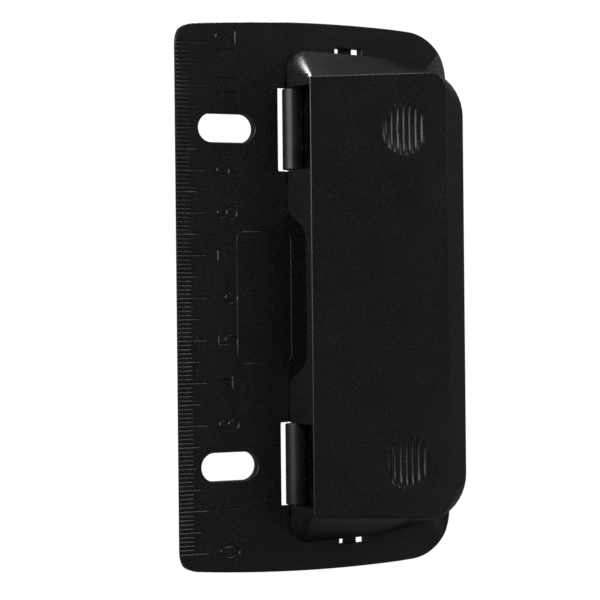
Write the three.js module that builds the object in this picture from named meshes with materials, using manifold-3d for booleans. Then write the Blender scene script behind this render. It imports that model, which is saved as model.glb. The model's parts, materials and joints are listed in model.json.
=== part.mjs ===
// Two-hole pocket punch with a ruler edge, for filing in a ring binder.
// Millimetres, +Z up. The origin is the middle of the base plate's underside.
// The ruler edge faces -X, the paper goes in from +X, and the hinge runs along Y.
import * as THREE from 'three';
import { mergeVertices } from 'three/addons/utils/BufferGeometryUtils.js';
import { ConvexGeometry } from 'three/addons/geometries/ConvexGeometry.js';
import Module from 'manifold-3d';

const wasm = await Module();
wasm.setup();

// ---- driving dimensions -------------------------------------------------

const holeSpacing = 80;            // between the two punched holes, and the two filing slots

// base plate
const plateLength = 131.5;
const plateWidth = 73.5;
const plateThickness = 2.6;
const plateEndBow = 1.8;           // how far the ends bulge past their corners
const rulerCornerRadius = 5;
const throatCornerRadius = 12;
const rulerEdgeLand = 0.6;         // thickness left at the ruler edge by the undercut
const leadInWidth = 1.6;           // bevel that guides the paper in
const leadInDrop = 0.8;

// filing slots
const slotLength = 14.8;
const slotWidth = 6.8;
const slotFromRulerEdge = 13.2;

// hinge
const pinRadius = 0.9;
const pinFit = 0.05;               // pin in the lever
const knuckleFit = 0.15;           // pin in the rolled knuckle
const sheetThickness = 1.4;        // steel of the die plate and its knuckle
const hingeX = -6.4;
const hingeAbovePlate = 0.35;
const knuckleLength = 19.4;
const hingeWindowRear = 1.5;       // daylight between the knuckle and the window's rear edge
const hingeWindowFront = 0.5;
const hingeWindowEnd = 0.3;        // gap at each end of the knuckle

// lever
const pressAngle = THREE.MathUtils.degToRad(9);
const leverGap = 0.35;             // skirt above the plate, along the closed line
const leverTop = 12.3;             // top face above the plate
const leverWall = 1.9;
const leverRoof = 1.8;
const lipSetback = 0.15;           // lip behind the plate's front edge
const lipLand = 0.8;
const lipBevel = 7.2;              // from the lip back to the crease in the top face
const skirtSetback = 6.55;         // skirt's rear corners inside the plate's ends
const skirtMiddleTaper = 1.2;      // the skirt narrows towards the lip
const skirtFrontTaper = 5.8;
const skirtMiddleX = 14;
const topRearTaper = 7.5;          // the top face is shorter than the skirt
const topFrontTaper = 5.2;
const skirtRearRadius = 5;
const skirtMiddleRadius = 60;
const skirtFrontRadius = 12;
const topRearRadius = 0.8;
const topFrontRadius = 5;
const cheekThickness = 2.5;        // bearing walls beside each knuckle
const cheekShell = 0.4;            // plastic round the pin
const cheekDepth = 2.85;           // from the rear wall's face to the front of the cheek
const cheekInset = 0.1;            // cheek's rear face inside the rear wall's
const cheekOverlap = 0.1;          // how far each cheek shows inside the hinge window
const cheekClear = 0.4;            // between a cheek's eye and the relief in the plate
const pinEndCover = 0.5;           // cheek beyond each end of the pin

// the rear wall's opening over each knuckle
const notchTopLand = 0.1;          // left under the top face's edge
const notchSlope = 1.2;            // the opening's head slants in this far under the roof
const notchPastWall = 0.2;

// arch in the rear wall
const archHalfFoot = 20.2;
const archHalfTop = 15.5;
const archTop = 9.3;
const archRadius = 5;

// finger pads
const padRadius = 6.45;
const padDepth = 1.2;
const bossMargin = 1.85;           // pusher boss wider than the punch
const bossDrop = 1.1;              // and below the roof's inside

// punch and guide
const punchX = 17.8;
const punchRadius = 2.75;
const punchFit = 0.12;
const paperGap = 1.2;
const paperDepth = 12;             // hole centre to the edge of the paper
const guideThickness = 1;
const guideWidth = 14;
const guideFootLength = 8.2;
const footRadius = 1.5;
const guideMetal = 3.75;           // metal round the punch
const restGap = 0.3;               // between seats that only touch in use
const seatGap = 0.05;              // between faces that are clamped together
const tipCover = 0.3;              // punch tip above the paper gap at rest
const tipNotch = 0.9;              // depth of the cutting notch
const tipLand = 0.2;               // flat left at the ends of the notch
const domeHeight = 0.5;

// spring and its clip: the spring is conical, so its turns nest when the lever is pressed
const wireRadius = 0.3;
const springClear = 0.25;          // between the top turn and the punch
const springNest = 0.02;           // between turns pressed flat
const springTurns = 3;
const springEndGap = 0.1;          // at each end of the spring
const clipThickness = 0.7;
const clipMargin = 0.7;            // clip wider than the spring's top turn
const clipBelowTop = 1.2;
const grooveDepth = 0.6;
const grooveFit = 0.12;
const clipMouth = THREE.MathUtils.degToRad(60);

// die plate and rivets
const pocketFit = 0.3;
const dieFit = 0.12;
const dieBridge = 2.45;            // steel between the punch and the front rivet's head
const dieMargin = 0.4;             // and in front of that head
const seamHeight = 0.25;           // gap where the rolled sheet comes back to the leaf
const chipHoleExtra = 0.7;
const rivetRadius = 1;
const rivetHeadRadius = 1.9;
const rivetRecess = 0.15;          // head above the underside
const rivetWeb = 0.4;              // plastic between the head's recess and the die plate's pocket
const rivetFit = 0.1;
const rivetPitch = 8.4;
const rivetX = 0.9;

// limit lugs at the plate's ends
const lugWidth = 3.3;
const lugX = 9.1;
const lugSlotWidth = 2;
const lugSlotProud = 0.8;          // slots show this far outside the skirt
const lugSlotBehind = 0.4;
const lugSetback = 6;              // lug inside the skirt
const lugThickness = 1.4;
const lugNose = 1;
const lugNoseLand = 0.4;
const lugNoseHeight = 1.2;
const ledgeThickness = 1;
const ledgeOverlap = 0.6;
const ledgeMargin = 1;             // ledge longer than the lug at each end

// ---- derived sizes ------------------------------------------------------

const plateTop = plateThickness;
const halfSpacing = holeSpacing / 2;
const lipX = plateWidth / 2 - lipSetback;
const creaseX = lipX - lipBevel;
const skirtHalfRear = plateLength / 2 - skirtSetback;
const skirtHalfMiddle = skirtHalfRear - skirtMiddleTaper;
const skirtHalfFront = skirtHalfRear - skirtFrontTaper;
const topHalfRear = skirtHalfRear - topRearTaper;
const topHalfFront = skirtHalfRear - topFrontTaper;
const hingeZ = plateTop + hingeAbovePlate;
const knuckleInner = pinRadius + knuckleFit;
const knuckleOuter = knuckleInner + sheetThickness;
const rearWallX = hingeX - pinRadius - pinFit - cheekShell;
const hingeWindowHalf = knuckleLength / 2 + hingeWindowEnd;
const cheekInner = hingeWindowHalf - cheekOverlap;
const cheekOuter = cheekInner + cheekThickness;
const cheekRadius = hingeX - rearWallX;
const pinLength = 2 * (cheekOuter - pinEndCover);
const roofInside = plateTop + leverTop - leverRoof;
const bossBottom = roofInside - bossDrop;
const punchTop = bossBottom - restGap;
const bossRadius = punchRadius + bossMargin;
const stopX = punchX - paperDepth;
const guideNose = punchRadius + guideMetal;
const frontRivetX = punchX + punchRadius + dieBridge + rivetHeadRadius;
const dieFront = frontRivetX + rivetHeadRadius + dieMargin;
const pocketFloor = plateTop - sheetThickness - seatGap;
const rivetHeadHeight = pocketFloor - rivetRecess - rivetWeb;
const guideBottom = plateTop + paperGap;
const guideTop = guideBottom + guideThickness;
const punchTip = guideBottom + tipCover;
const springTopRadius = punchRadius + springClear + wireRadius;
const springFootRadius = springTopRadius + springTurns * (2 * wireRadius + springNest);
const clipRadius = springTopRadius + wireRadius + clipMargin;
const clipTop = punchTop - clipBelowTop;
const clipBottom = clipTop - clipThickness;
const lugOuter = skirtHalfMiddle - lugSetback;
const lugSlotOuter = skirtHalfRear + lugSlotProud;
const lugSlotInner = lugOuter - lugThickness - lugSlotBehind;
const lugNoseBottom = skirtHeight(lugX) + ledgeThickness + restGap;

// height of the skirt's lower edge, which lies flat on the plate when the lever is pressed
function skirtHeight(x) {
  return plateTop + leverGap + (x - hingeX) * Math.tan(pressAngle);
}

// ---- helpers ------------------------------------------------------------

const arcSteps = 6;                // straight steps round a filleted corner
const roundSides = 24;             // sides of a turned piece
const rivetHoleSides = 16;
const overrun = 1;                 // how far a cutting solid runs past what it cuts
const weld = 0.5;                  // how far joined solids run into each other

function toSolid(geometry) {
  const bare = geometry.clone();
  bare.deleteAttribute('normal');
  bare.deleteAttribute('uv');
  const merged = mergeVertices(bare, 1e-4);
  const vertProperties = new Float32Array(merged.attributes.position.array);
  const triVerts = new Uint32Array(merged.index.array);
  return new wasm.Manifold(new wasm.Mesh({ numProp: 3, vertProperties, triVerts }));
}

function toGeometry(solid) {
  const mesh = solid.getMesh();
  const geometry = new THREE.BufferGeometry();
  geometry.setAttribute('position', new THREE.BufferAttribute(mesh.vertProperties, 3));
  geometry.setIndex(new THREE.BufferAttribute(mesh.triVerts, 1));
  geometry.computeVertexNormals();
  return geometry;
}

// a box from its lowest and highest corners
function block(low, high) {
  const size = high.map((value, i) => value - low[i]);
  const middle = high.map((value, i) => (value + low[i]) / 2);
  return toSolid(new THREE.BoxGeometry(...size).translate(...middle));
}

// a closed loop of points whose corners [x, y, radius] are rounded
function roundedLoop(corners) {
  const points = [];
  corners.forEach(([x, y, radius], i) => {
    const corner = new THREE.Vector2(x, y);
    const before = new THREE.Vector2(...corners.at(i - 1).slice(0, 2)).sub(corner).normalize();
    const after = new THREE.Vector2(...corners[(i + 1) % corners.length].slice(0, 2)).sub(corner).normalize();
    if (radius === 0) {
      points.push(corner);
      return;
    }
    const half = Math.acos(THREE.MathUtils.clamp(before.dot(after), -1, 1)) / 2;
    const reach = radius / Math.tan(half);
    const middle = before.clone().add(after).normalize();
    const centre = corner.clone().addScaledVector(middle, radius / Math.sin(half));
    const from = corner.clone().addScaledVector(before, reach).sub(centre);
    const to = corner.clone().addScaledVector(after, reach).sub(centre);
    const turn = Math.atan2(from.cross(to), from.dot(to));
    for (let k = 0; k <= arcSteps; k += 1) {
      const spoke = from.clone().rotateAround(new THREE.Vector2(), (turn * k) / arcSteps);
      points.push(centre.clone().add(spoke));
    }
  });
  return points;
}

// a plan outline raised from one height to another
function prism(points, bottom, top) {
  const depth = top - bottom;
  const geometry = new THREE.ExtrudeGeometry(new THREE.Shape(points), { depth, bevelEnabled: false });
  return toSolid(geometry.translate(0, 0, bottom));
}

// a side profile in X and Z, run across the width from y = low to y = high
function acrossY(shape, low, high, curveSegments = 12) {
  const depth = high - low;
  const geometry = new THREE.ExtrudeGeometry(shape, { depth, bevelEnabled: false, curveSegments });
  return toSolid(geometry.rotateX(Math.PI / 2).translate(0, high, 0));
}

function upright(radius, bottom, top, x = 0, y = 0, sides = roundSides) {
  const geometry = new THREE.CylinderGeometry(radius, radius, top - bottom, sides);
  return toSolid(geometry.rotateX(Math.PI / 2).translate(x, y, (bottom + top) / 2));
}

// a rod along Y on the hinge line
function hingeRod(radius, low, high) {
  const geometry = new THREE.CylinderGeometry(radius, radius, high - low, roundSides);
  return toSolid(geometry.translate(hingeX, (low + high) / 2, hingeZ));
}

// a body turned about Z from its [radius, height] profile, which starts and ends on the axis
function turned(profile, x = 0, y = 0) {
  const points = profile.map(([radius, height]) => new THREE.Vector2(radius, height));
  return toSolid(new THREE.LatheGeometry(points, roundSides).rotateX(Math.PI / 2).translate(x, y, 0));
}

function material(color, roughness, metalness) {
  return new THREE.MeshStandardMaterial({ color, roughness, metalness });
}

const plateBlack = material(0x121212, 0.55, 0);
const leverBlack = material(0x141414, 0.5, 0);
const blackSteel = material(0x1b1b1d, 0.3, 0.6);
const brightSteel = material(0xa8a8a8, 0.35, 1);
const springSteel = material(0x8c8c8c, 0.4, 1);

function piece(name, solid, finish) {
  const mesh = new THREE.Mesh(toGeometry(solid), finish);
  mesh.name = name;
  return mesh;
}

const sides = [
  { name: 'far', sign: 1 },
  { name: 'near', sign: -1 },
];

// ---- base plate ---------------------------------------------------------

function plateOutline() {
  const halfWidth = plateWidth / 2;
  const cornerY = plateLength / 2 - plateEndBow;
  const bowSteps = 8;
  const bow = [];
  for (let k = 1; k < bowSteps; k += 1) {
    const x = halfWidth - (plateWidth * k) / bowSteps;
    bow.push([x, cornerY + plateEndBow * (1 - (x / halfWidth) ** 2), 0]);
  }
  const inner = bow.slice(1, -1);
  const throatCorner = [halfWidth, cornerY, throatCornerRadius];
  const farEnd = [throatCorner, ...inner, [-halfWidth, cornerY, rulerCornerRadius]];
  const nearEnd = farEnd.map(([x, y, radius]) => [x, -y, radius]).reverse();
  return roundedLoop([...farEnd, ...nearEnd]);
}

function slotOutline(x, y) {
  const halfLength = slotLength / 2;
  const radius = slotWidth / 2 - 0.001;
  const halfWidth = slotWidth / 2;
  return roundedLoop([
    [x - halfLength, y - halfWidth, radius],
    [x + halfLength, y - halfWidth, radius],
    [x + halfLength, y + halfWidth, radius],
    [x - halfLength, y + halfWidth, radius],
  ]);
}

// everything cut from the plate for one punching unit, centred on y
function unitCuts(y) {
  const windowRear = hingeX - knuckleOuter - hingeWindowRear;
  const windowFront = hingeX + knuckleOuter + hingeWindowFront;
  const halfPocket = knuckleLength / 2 + pocketFit;
  const above = plateTop + overrun;
  const window = block(
    [windowRear, y - hingeWindowHalf, -overrun],
    [windowFront, y + hingeWindowHalf, above],
  );
  const pocket = block(
    [windowFront - overrun, y - halfPocket, pocketFloor],
    [dieFront + pocketFit, y + halfPocket, above],
  );
  const reliefRadius = cheekRadius + cheekClear;
  const reliefHalf = cheekOuter + restGap;
  const relief = block(
    [hingeX - reliefRadius, y - reliefHalf, hingeZ - reliefRadius],
    [hingeX + reliefRadius, y + reliefHalf, above],
  );
  const chipHole = upright(punchRadius + chipHoleExtra, -overrun, plateTop, punchX, y);
  let cuts = window.add(pocket).add(relief).add(chipHole);
  const recessTop = pocketFloor - rivetWeb;
  for (const [x, offset] of rivetPlaces()) {
    cuts = cuts.add(upright(rivetRadius + rivetFit, -overrun, plateTop, x, y + offset, rivetHoleSides));
    cuts = cuts.add(upright(rivetHeadRadius + rivetFit, -overrun, recessTop, x, y + offset));
  }
  return cuts;
}

// [x, y offset] of the rivets of one unit: two behind the paper stop and one in front
function rivetPlaces() {
  return [
    [rivetX, -rivetPitch / 2],
    [rivetX, rivetPitch / 2],
    [frontRivetX, 0],
  ];
}

function limitLug(sign) {
  const inner = lugOuter - lugThickness;
  const noseTop = lugNoseBottom + lugNoseHeight;
  const profile = new THREE.Shape([
    new THREE.Vector2(inner, plateTop - weld),
    new THREE.Vector2(lugOuter, plateTop - weld),
    new THREE.Vector2(lugOuter, lugNoseBottom),
    new THREE.Vector2(lugOuter + lugNose, lugNoseBottom),
    new THREE.Vector2(lugOuter + lugNose, lugNoseBottom + lugNoseLand),
    new THREE.Vector2(lugOuter, noseTop),
    new THREE.Vector2(inner, noseTop),
  ]);
  const geometry = new THREE.ExtrudeGeometry(profile, { depth: lugWidth, bevelEnabled: false });
  geometry.rotateX(Math.PI / 2).rotateZ(Math.PI / 2);
  geometry.translate(lugX - lugWidth / 2, 0, 0);
  if (sign < 0) {
    geometry.rotateZ(Math.PI).translate(2 * lugX, 0, 0);
  }
  return toSolid(geometry);
}

function lugSlots(sign) {
  const nearY = sign * lugSlotInner;
  const farY = sign * lugSlotOuter;
  const lowY = Math.min(nearY, farY);
  const highY = Math.max(nearY, farY);
  const reach = lugWidth / 2 + lugSlotWidth;
  const above = plateTop + overrun;
  const left = block([lugX - reach, lowY, -overrun], [lugX - lugWidth / 2, highY, above]);
  const right = block([lugX + lugWidth / 2, lowY, -overrun], [lugX + reach, highY, above]);
  return left.add(right);
}

function basePlate() {
  const halfWidth = plateWidth / 2;
  const undercut = plateThickness - rulerEdgeLand;
  const long = plateLength;
  let plate = prism(plateOutline(), 0, plateThickness);
  const rulerUndercut = new THREE.Shape([
    new THREE.Vector2(-halfWidth - overrun, -overrun),
    new THREE.Vector2(-halfWidth + undercut + overrun, -overrun),
    new THREE.Vector2(-halfWidth - overrun, undercut + overrun),
  ]);
  const leadIn = new THREE.Shape([
    new THREE.Vector2(halfWidth - leadInWidth, plateTop),
    new THREE.Vector2(halfWidth + leadInWidth, plateTop - 2 * leadInDrop),
    new THREE.Vector2(halfWidth + leadInWidth, plateTop + overrun),
    new THREE.Vector2(halfWidth - leadInWidth, plateTop + overrun),
  ]);
  plate = plate.subtract(acrossY(rulerUndercut, -long, long));
  plate = plate.subtract(acrossY(leadIn, -long, long));
  for (const { sign } of sides) {
    const y = sign * halfSpacing;
    const slot = slotOutline(-halfWidth + slotFromRulerEdge, y);
    plate = plate.subtract(prism(slot, -overrun, plateTop + overrun));
    plate = plate.subtract(unitCuts(y));
    plate = plate.subtract(lugSlots(sign));
    plate = plate.add(limitLug(sign));
  }
  return plate;
}

// ---- lever --------------------------------------------------------------

// corners of a lever outline, mirrored about y = 0
function mirrored(half) {
  const other = half.map(([x, y, radius]) => [x, -y, radius]).reverse();
  return roundedLoop([...half, ...other]);
}

function skirtRing(inset) {
  return mirrored([
    [lipX - inset, skirtHalfFront - inset, Math.max(skirtFrontRadius - inset, 1)],
    [skirtMiddleX, skirtHalfMiddle - inset, skirtMiddleRadius],
    [rearWallX + inset, skirtHalfRear - inset, Math.max(skirtRearRadius - inset, 0.5)],
  ]);
}

function topRing(frontInset, endInset, rearInset) {
  return mirrored([
    [creaseX - frontInset, topHalfFront - endInset, topFrontRadius],
    [rearWallX + rearInset, topHalfRear - endInset, topRearRadius],
  ]);
}

function lift(points, height) {
  return points.map(({ x, y }) => new THREE.Vector3(x, y, typeof height === 'function' ? height(x) : height));
}

function leverOutside() {
  const skirt = skirtRing(0);
  const lip = skirt.filter(({ x }) => x > creaseX);
  return toSolid(new ConvexGeometry([
    ...lift(skirt, skirtHeight),
    ...lift(lip, (x) => skirtHeight(x) + lipLand),
    ...lift(topRing(0, 0, 0), plateTop + leverTop),
  ]));
}

function leverInside() {
  const below = 3;
  return toSolid(new ConvexGeometry([
    ...lift(skirtRing(leverWall), (x) => skirtHeight(x) - below),
    ...lift(skirtRing(leverWall), skirtHeight),
    ...lift(topRing(0, 1, leverWall), roofInside),
  ]));
}

// the two bearing walls beside one knuckle
function cheeks(y) {
  let walls = null;
  for (const side of [-1, 1]) {
    const edges = [y + side * cheekInner, y + side * cheekOuter];
    const low = Math.min(...edges);
    const high = Math.max(...edges);
    const wall = block(
      [rearWallX + cheekInset, low, hingeZ],
      [rearWallX + cheekDepth, high, roofInside + weld],
    );
    const eye = hingeRod(cheekRadius, low, high);
    const both = wall.add(eye);
    walls = walls ? walls.add(both) : both;
  }
  return walls;
}

// the opening in the rear wall for one knuckle, with a slanting head under the roof's edge
function knuckleNotch(y) {
  const top = plateTop + leverTop - notchTopLand;
  const back = rearWallX - overrun;
  const front = rearWallX + leverWall + notchPastWall;
  const profile = new THREE.Shape([
    new THREE.Vector2(back, -overrun),
    new THREE.Vector2(front, -overrun),
    new THREE.Vector2(front, roofInside),
    new THREE.Vector2(rearWallX + notchSlope, roofInside),
    new THREE.Vector2(rearWallX, top),
    new THREE.Vector2(back, top),
  ]);
  return acrossY(profile, y - cheekInner, y + cheekInner);
}

function rearArch() {
  const foot = plateTop - overrun;
  const loop = roundedLoop([
    [-archHalfFoot, foot, 0],
    [archHalfFoot, foot, 0],
    [archHalfFoot, plateTop + leverGap, 0],
    [archHalfTop, plateTop + archTop, archRadius],
    [-archHalfTop, plateTop + archTop, archRadius],
    [-archHalfFoot, plateTop + leverGap, 0],
  ]);
  const depth = leverWall + 1.5 * overrun;
  const geometry = new THREE.ExtrudeGeometry(new THREE.Shape(loop), { depth, bevelEnabled: false });
  geometry.rotateX(Math.PI / 2).rotateZ(Math.PI / 2);
  return toSolid(geometry.translate(rearWallX - overrun, 0, 0));
}

function fingerDish(y) {
  const radius = (padRadius ** 2 + padDepth ** 2) / (2 * padDepth);
  const top = plateTop + leverTop;
  const centre = top - padDepth + radius;
  const rings = 6;
  const profile = [[0, top - padDepth]];
  for (let k = 1; k <= rings; k += 1) {
    const reach = (padRadius * k) / rings;
    profile.push([reach, centre - Math.sqrt(radius ** 2 - reach ** 2)]);
  }
  profile.push([padRadius, top + overrun], [0, top + overrun]);
  return turned(profile, punchX, y);
}

// inward rib at the skirt's edge, which catches under the lug's nose when the lever is up
function limitLedge(sign) {
  const inner = lugOuter + lugNose - ledgeOverlap;
  const halfLedge = lugWidth / 2 + ledgeMargin;
  const low = skirtHeight(lugX);
  const outer = skirtHalfMiddle - leverWall / 2;
  const edges = [sign * inner, sign * outer];
  return block(
    [lugX - halfLedge, Math.min(...edges), low],
    [lugX + halfLedge, Math.max(...edges), low + ledgeThickness],
  );
}

function pressLever() {
  let lever = leverOutside().subtract(leverInside());
  for (const { sign } of sides) {
    const y = sign * halfSpacing;
    lever = lever.add(cheeks(y));
    lever = lever.subtract(knuckleNotch(y));
    const bore = pinLength / 2 + restGap;
    lever = lever.subtract(hingeRod(pinRadius + pinFit, y - bore, y + bore));
    lever = lever.add(upright(bossRadius, bossBottom, roofInside + weld, punchX, y));
    lever = lever.subtract(fingerDish(y));
    lever = lever.add(limitLedge(sign));
  }
  return lever.subtract(rearArch());
}

// ---- one punching unit, modelled about y = 0 -----------------------------

function diePlate() {
  const top = plateTop;
  const bottom = top - sheetThickness;
  const half = knuckleLength / 2;
  const leaf = block([hingeX + knuckleInner, -half, bottom], [dieFront, half, top]);
  const past = half + overrun;
  let plate = leaf.add(hingeRod(knuckleOuter, -half, half));
  plate = plate.subtract(hingeRod(knuckleInner, -past, past));
  // the seam where the rolled sheet comes back to the leaf
  const seamRear = hingeX + knuckleInner / 2;
  const seamFront = hingeX + knuckleOuter + overrun;
  plate = plate.subtract(block([seamRear, -past, top], [seamFront, past, top + seamHeight]));
  plate = plate.subtract(upright(punchRadius + dieFit, bottom - overrun, top + overrun, punchX));
  for (const [x, y] of rivetPlaces()) {
    const hole = upright(rivetRadius + rivetFit, bottom - overrun, top + overrun, x, y, rivetHoleSides);
    plate = plate.subtract(hole);
  }
  const sink = rivetHeadHeight + rivetFit;
  return plate.subtract(upright(rivetHeadRadius + rivetFit, top - sink, top + overrun, frontRivetX));
}

function punchGuide() {
  const foot = plateTop + seatGap;
  const half = guideWidth / 2;
  const footEnd = stopX - guideFootLength;
  const nose = punchX + guideNose;
  const profile = new THREE.Shape([
    new THREE.Vector2(footEnd, foot),
    new THREE.Vector2(stopX, foot),
    new THREE.Vector2(stopX, guideBottom),
    new THREE.Vector2(nose, guideBottom),
    new THREE.Vector2(nose, guideTop),
    new THREE.Vector2(stopX - guideThickness, guideTop),
    new THREE.Vector2(stopX - guideThickness, foot + guideThickness),
    new THREE.Vector2(footEnd, foot + guideThickness),
  ]);
  const noseRadius = Math.min(guideNose, half) * 0.98;
  const plan = roundedLoop([
    [footEnd, -half, footRadius],
    [nose, -half, noseRadius],
    [nose, half, noseRadius],
    [footEnd, half, footRadius],
  ]);
  let guide = acrossY(profile, -half, half).intersect(prism(plan, 0, guideTop + overrun));
  guide = guide.subtract(upright(punchRadius + punchFit, guideBottom - weld, guideTop + overrun, punchX));
  const holeTop = foot + guideThickness + overrun;
  for (const [x, y] of rivetPlaces().slice(0, 2)) {
    guide = guide.subtract(upright(rivetRadius + rivetFit, foot - overrun, holeTop, x, y, rivetHoleSides));
  }
  return guide;
}

function hingePin() {
  return hingeRod(pinRadius, -pinLength / 2, pinLength / 2);
}

// straight shank with a domed top, a clip groove and a crosswise notch that cuts from both sides
function punchPin() {
  const grooveLow = clipBottom - grooveFit;
  const grooveHigh = clipTop + grooveFit;
  const body = turned([
    [0, punchTip],
    [punchRadius, punchTip],
    [punchRadius, grooveLow],
    [punchRadius - grooveDepth, grooveLow],
    [punchRadius - grooveDepth, grooveHigh],
    [punchRadius, grooveHigh],
    [punchRadius, punchTop - domeHeight],
    [punchRadius * 0.6, punchTop - domeHeight * 0.2],
    [0, punchTop],
  ]);
  const past = punchRadius + overrun;
  const notch = new THREE.Shape([
    new THREE.Vector2(-past, punchTip - overrun),
    new THREE.Vector2(past, punchTip - overrun),
    new THREE.Vector2(punchRadius - tipLand, punchTip),
    new THREE.Vector2(0, punchTip + tipNotch),
    new THREE.Vector2(-punchRadius + tipLand, punchTip),
  ]);
  return body.subtract(acrossY(notch, -past, past));
}

function springClip() {
  const inner = punchRadius - grooveDepth + grooveFit;
  const half = clipMouth / 2;
  const shape = new THREE.Shape();
  shape.absarc(0, 0, clipRadius, half, 2 * Math.PI - half, false);
  shape.absarc(0, 0, inner, 2 * Math.PI - half, half, true);
  const settings = { depth: clipThickness, bevelEnabled: false, curveSegments: 16 };
  const geometry = new THREE.ExtrudeGeometry(shape, settings);
  return toSolid(geometry.translate(0, 0, clipBottom));
}

// a conical helix from its foot to its top
class Helix extends THREE.Curve {
  constructor(foot, top, turns) {
    super();
    Object.assign(this, { foot, top, turns });
  }

  getPoint(t, target = new THREE.Vector3()) {
    const angle = t * this.turns * 2 * Math.PI;
    const radius = THREE.MathUtils.lerp(this.foot.radius, this.top.radius, t);
    const height = THREE.MathUtils.lerp(this.foot.height, this.top.height, t);
    return target.set(radius * Math.cos(angle), radius * Math.sin(angle), height);
  }
}

function returnSpring() {
  const seat = wireRadius + springEndGap;
  const foot = { radius: springFootRadius, height: guideTop + seat };
  const top = { radius: springTopRadius, height: clipBottom - seat };
  const path = new Helix(foot, top, springTurns);
  const section = new THREE.Shape();
  section.absarc(0, 0, wireRadius, 0, 2 * Math.PI, false);
  const steps = 12 * springTurns;
  const settings = { steps, extrudePath: path, curveSegments: 6, bevelEnabled: false };
  return toSolid(new THREE.ExtrudeGeometry(section, settings));
}

// a rivet from the plate's underside to the top of what it clamps
function rivet(seat, flush) {
  const low = rivetRecess;
  const head = rivetHeadRadius;
  const lowHead = low + rivetHeadHeight - rivetFit;
  const lower = [[0, low], [head, low], [head, lowHead], [rivetRadius, lowHead]];
  if (flush) {
    const sunk = seat - rivetHeadHeight;
    const top = seat - seatGap;
    return turned([...lower, [rivetRadius, sunk], [head, sunk], [head, top], [0, top]]);
  }
  const under = seat + seatGap;
  const top = under + rivetHeadHeight;
  const shoulder = [head * 0.85, under + rivetHeadHeight * 0.6];
  return turned([...lower, [rivetRadius, under], [head, under], shoulder, [head * 0.4, top], [0, top]]);
}

function punchUnit(name) {
  const unit = new THREE.Group();
  unit.add(piece(`${name}_die_plate`, diePlate(), blackSteel));
  unit.add(piece(`${name}_punch_guide`, punchGuide(), brightSteel));
  unit.add(piece(`${name}_hinge_pin`, hingePin(), brightSteel));
  const stack = new THREE.Group();
  stack.position.x = punchX;
  stack.add(piece(`${name}_punch`, punchPin(), brightSteel));
  stack.add(piece(`${name}_spring_clip`, springClip(), springSteel));
  stack.add(piece(`${name}_return_spring`, returnSpring(), springSteel));
  unit.add(stack);
  const labels = ['rear_rivet_a', 'rear_rivet_b', 'front_rivet'];
  rivetPlaces().forEach(([x, y], i) => {
    const flush = i === 2;
    const seat = flush ? plateTop : plateTop + seatGap + guideThickness;
    const mesh = piece(`${name}_${labels[i]}`, rivet(seat, flush), brightSteel);
    mesh.position.set(x, y, 0);
    unit.add(mesh);
  });
  return unit;
}

// ---- assembly -----------------------------------------------------------

const group = new THREE.Group();
group.add(piece('base_plate', basePlate(), plateBlack));
group.add(piece('press_lever', pressLever(), leverBlack));
for (const { name, sign } of sides) {
  const unit = punchUnit(name);
  unit.position.y = sign * halfSpacing;
  group.add(unit);
}

export default group;
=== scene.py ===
"""Two-hole pocket punch with a ruler edge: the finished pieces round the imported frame.

Sizes are millimetres until make_piece() turns them into Blender's metres.
The ruler edge faces -X, the paper goes in from +X, and the hinge runs along Y.
"""
import json
import math

import bmesh
import bpy
from mathutils import Matrix, Vector


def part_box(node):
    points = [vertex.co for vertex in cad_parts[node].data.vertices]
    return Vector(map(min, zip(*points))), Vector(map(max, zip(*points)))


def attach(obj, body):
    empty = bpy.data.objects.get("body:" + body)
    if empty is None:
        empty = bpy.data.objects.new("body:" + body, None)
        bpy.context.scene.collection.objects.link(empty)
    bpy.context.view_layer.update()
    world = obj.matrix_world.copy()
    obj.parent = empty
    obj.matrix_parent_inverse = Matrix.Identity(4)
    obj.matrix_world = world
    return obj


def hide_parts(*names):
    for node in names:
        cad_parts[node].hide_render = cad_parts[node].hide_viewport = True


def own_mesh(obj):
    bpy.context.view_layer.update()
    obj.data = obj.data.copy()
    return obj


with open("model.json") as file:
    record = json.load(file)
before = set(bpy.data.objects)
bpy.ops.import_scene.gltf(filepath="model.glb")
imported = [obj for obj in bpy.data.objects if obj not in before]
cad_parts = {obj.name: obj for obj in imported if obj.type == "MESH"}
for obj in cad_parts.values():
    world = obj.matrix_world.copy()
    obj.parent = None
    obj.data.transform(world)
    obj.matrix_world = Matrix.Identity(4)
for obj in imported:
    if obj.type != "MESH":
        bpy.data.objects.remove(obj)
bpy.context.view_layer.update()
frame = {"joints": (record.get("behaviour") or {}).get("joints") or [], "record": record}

MM = 0.001
SHARP_ANGLE = math.radians(40)
RIM_ANGLE = math.radians(20)


# ---- places from the frame -----------------------------------------------------------

def node_box(node):
    """Lowest and highest corner of a CAD node, in millimetres."""
    low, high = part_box(node)
    return low / MM, high / MM


def middle(node):
    low, high = node_box(node)
    return (low + high) / 2


def mount_place(name):
    found = next(m for m in frame["record"]["mounts"] if m["name"] == name)
    return Vector(found["pos_m"]) / MM


HINGE_JOINT = next(j for j in frame["joints"] if j["name"] == "lever_hinge")
HINGE = Vector(HINGE_JOINT["pos_m"]) / MM
PRESS_ANGLE = math.radians(HINGE_JOINT["range_deg"][1])
PLATE_TOP = mount_place("filing_face").z
SLOT_X = mount_place("filing_face").x
HALF_WIDTH = node_box("base_plate")[1].x
HALF_LENGTH = node_box("base_plate")[1].y
REAR_WALL = node_box("press_lever")[0].x
LIP = node_box("press_lever")[1].x
LEVER_TOP = node_box("press_lever")[1].z
SIDES = ("far", "near")
UNIT_Y = {side: middle(f"{side}_punch").y for side in SIDES}
PUNCH_X = middle("far_punch").x

# ---- sizes of the finished surfaces --------------------------------------------------

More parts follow.
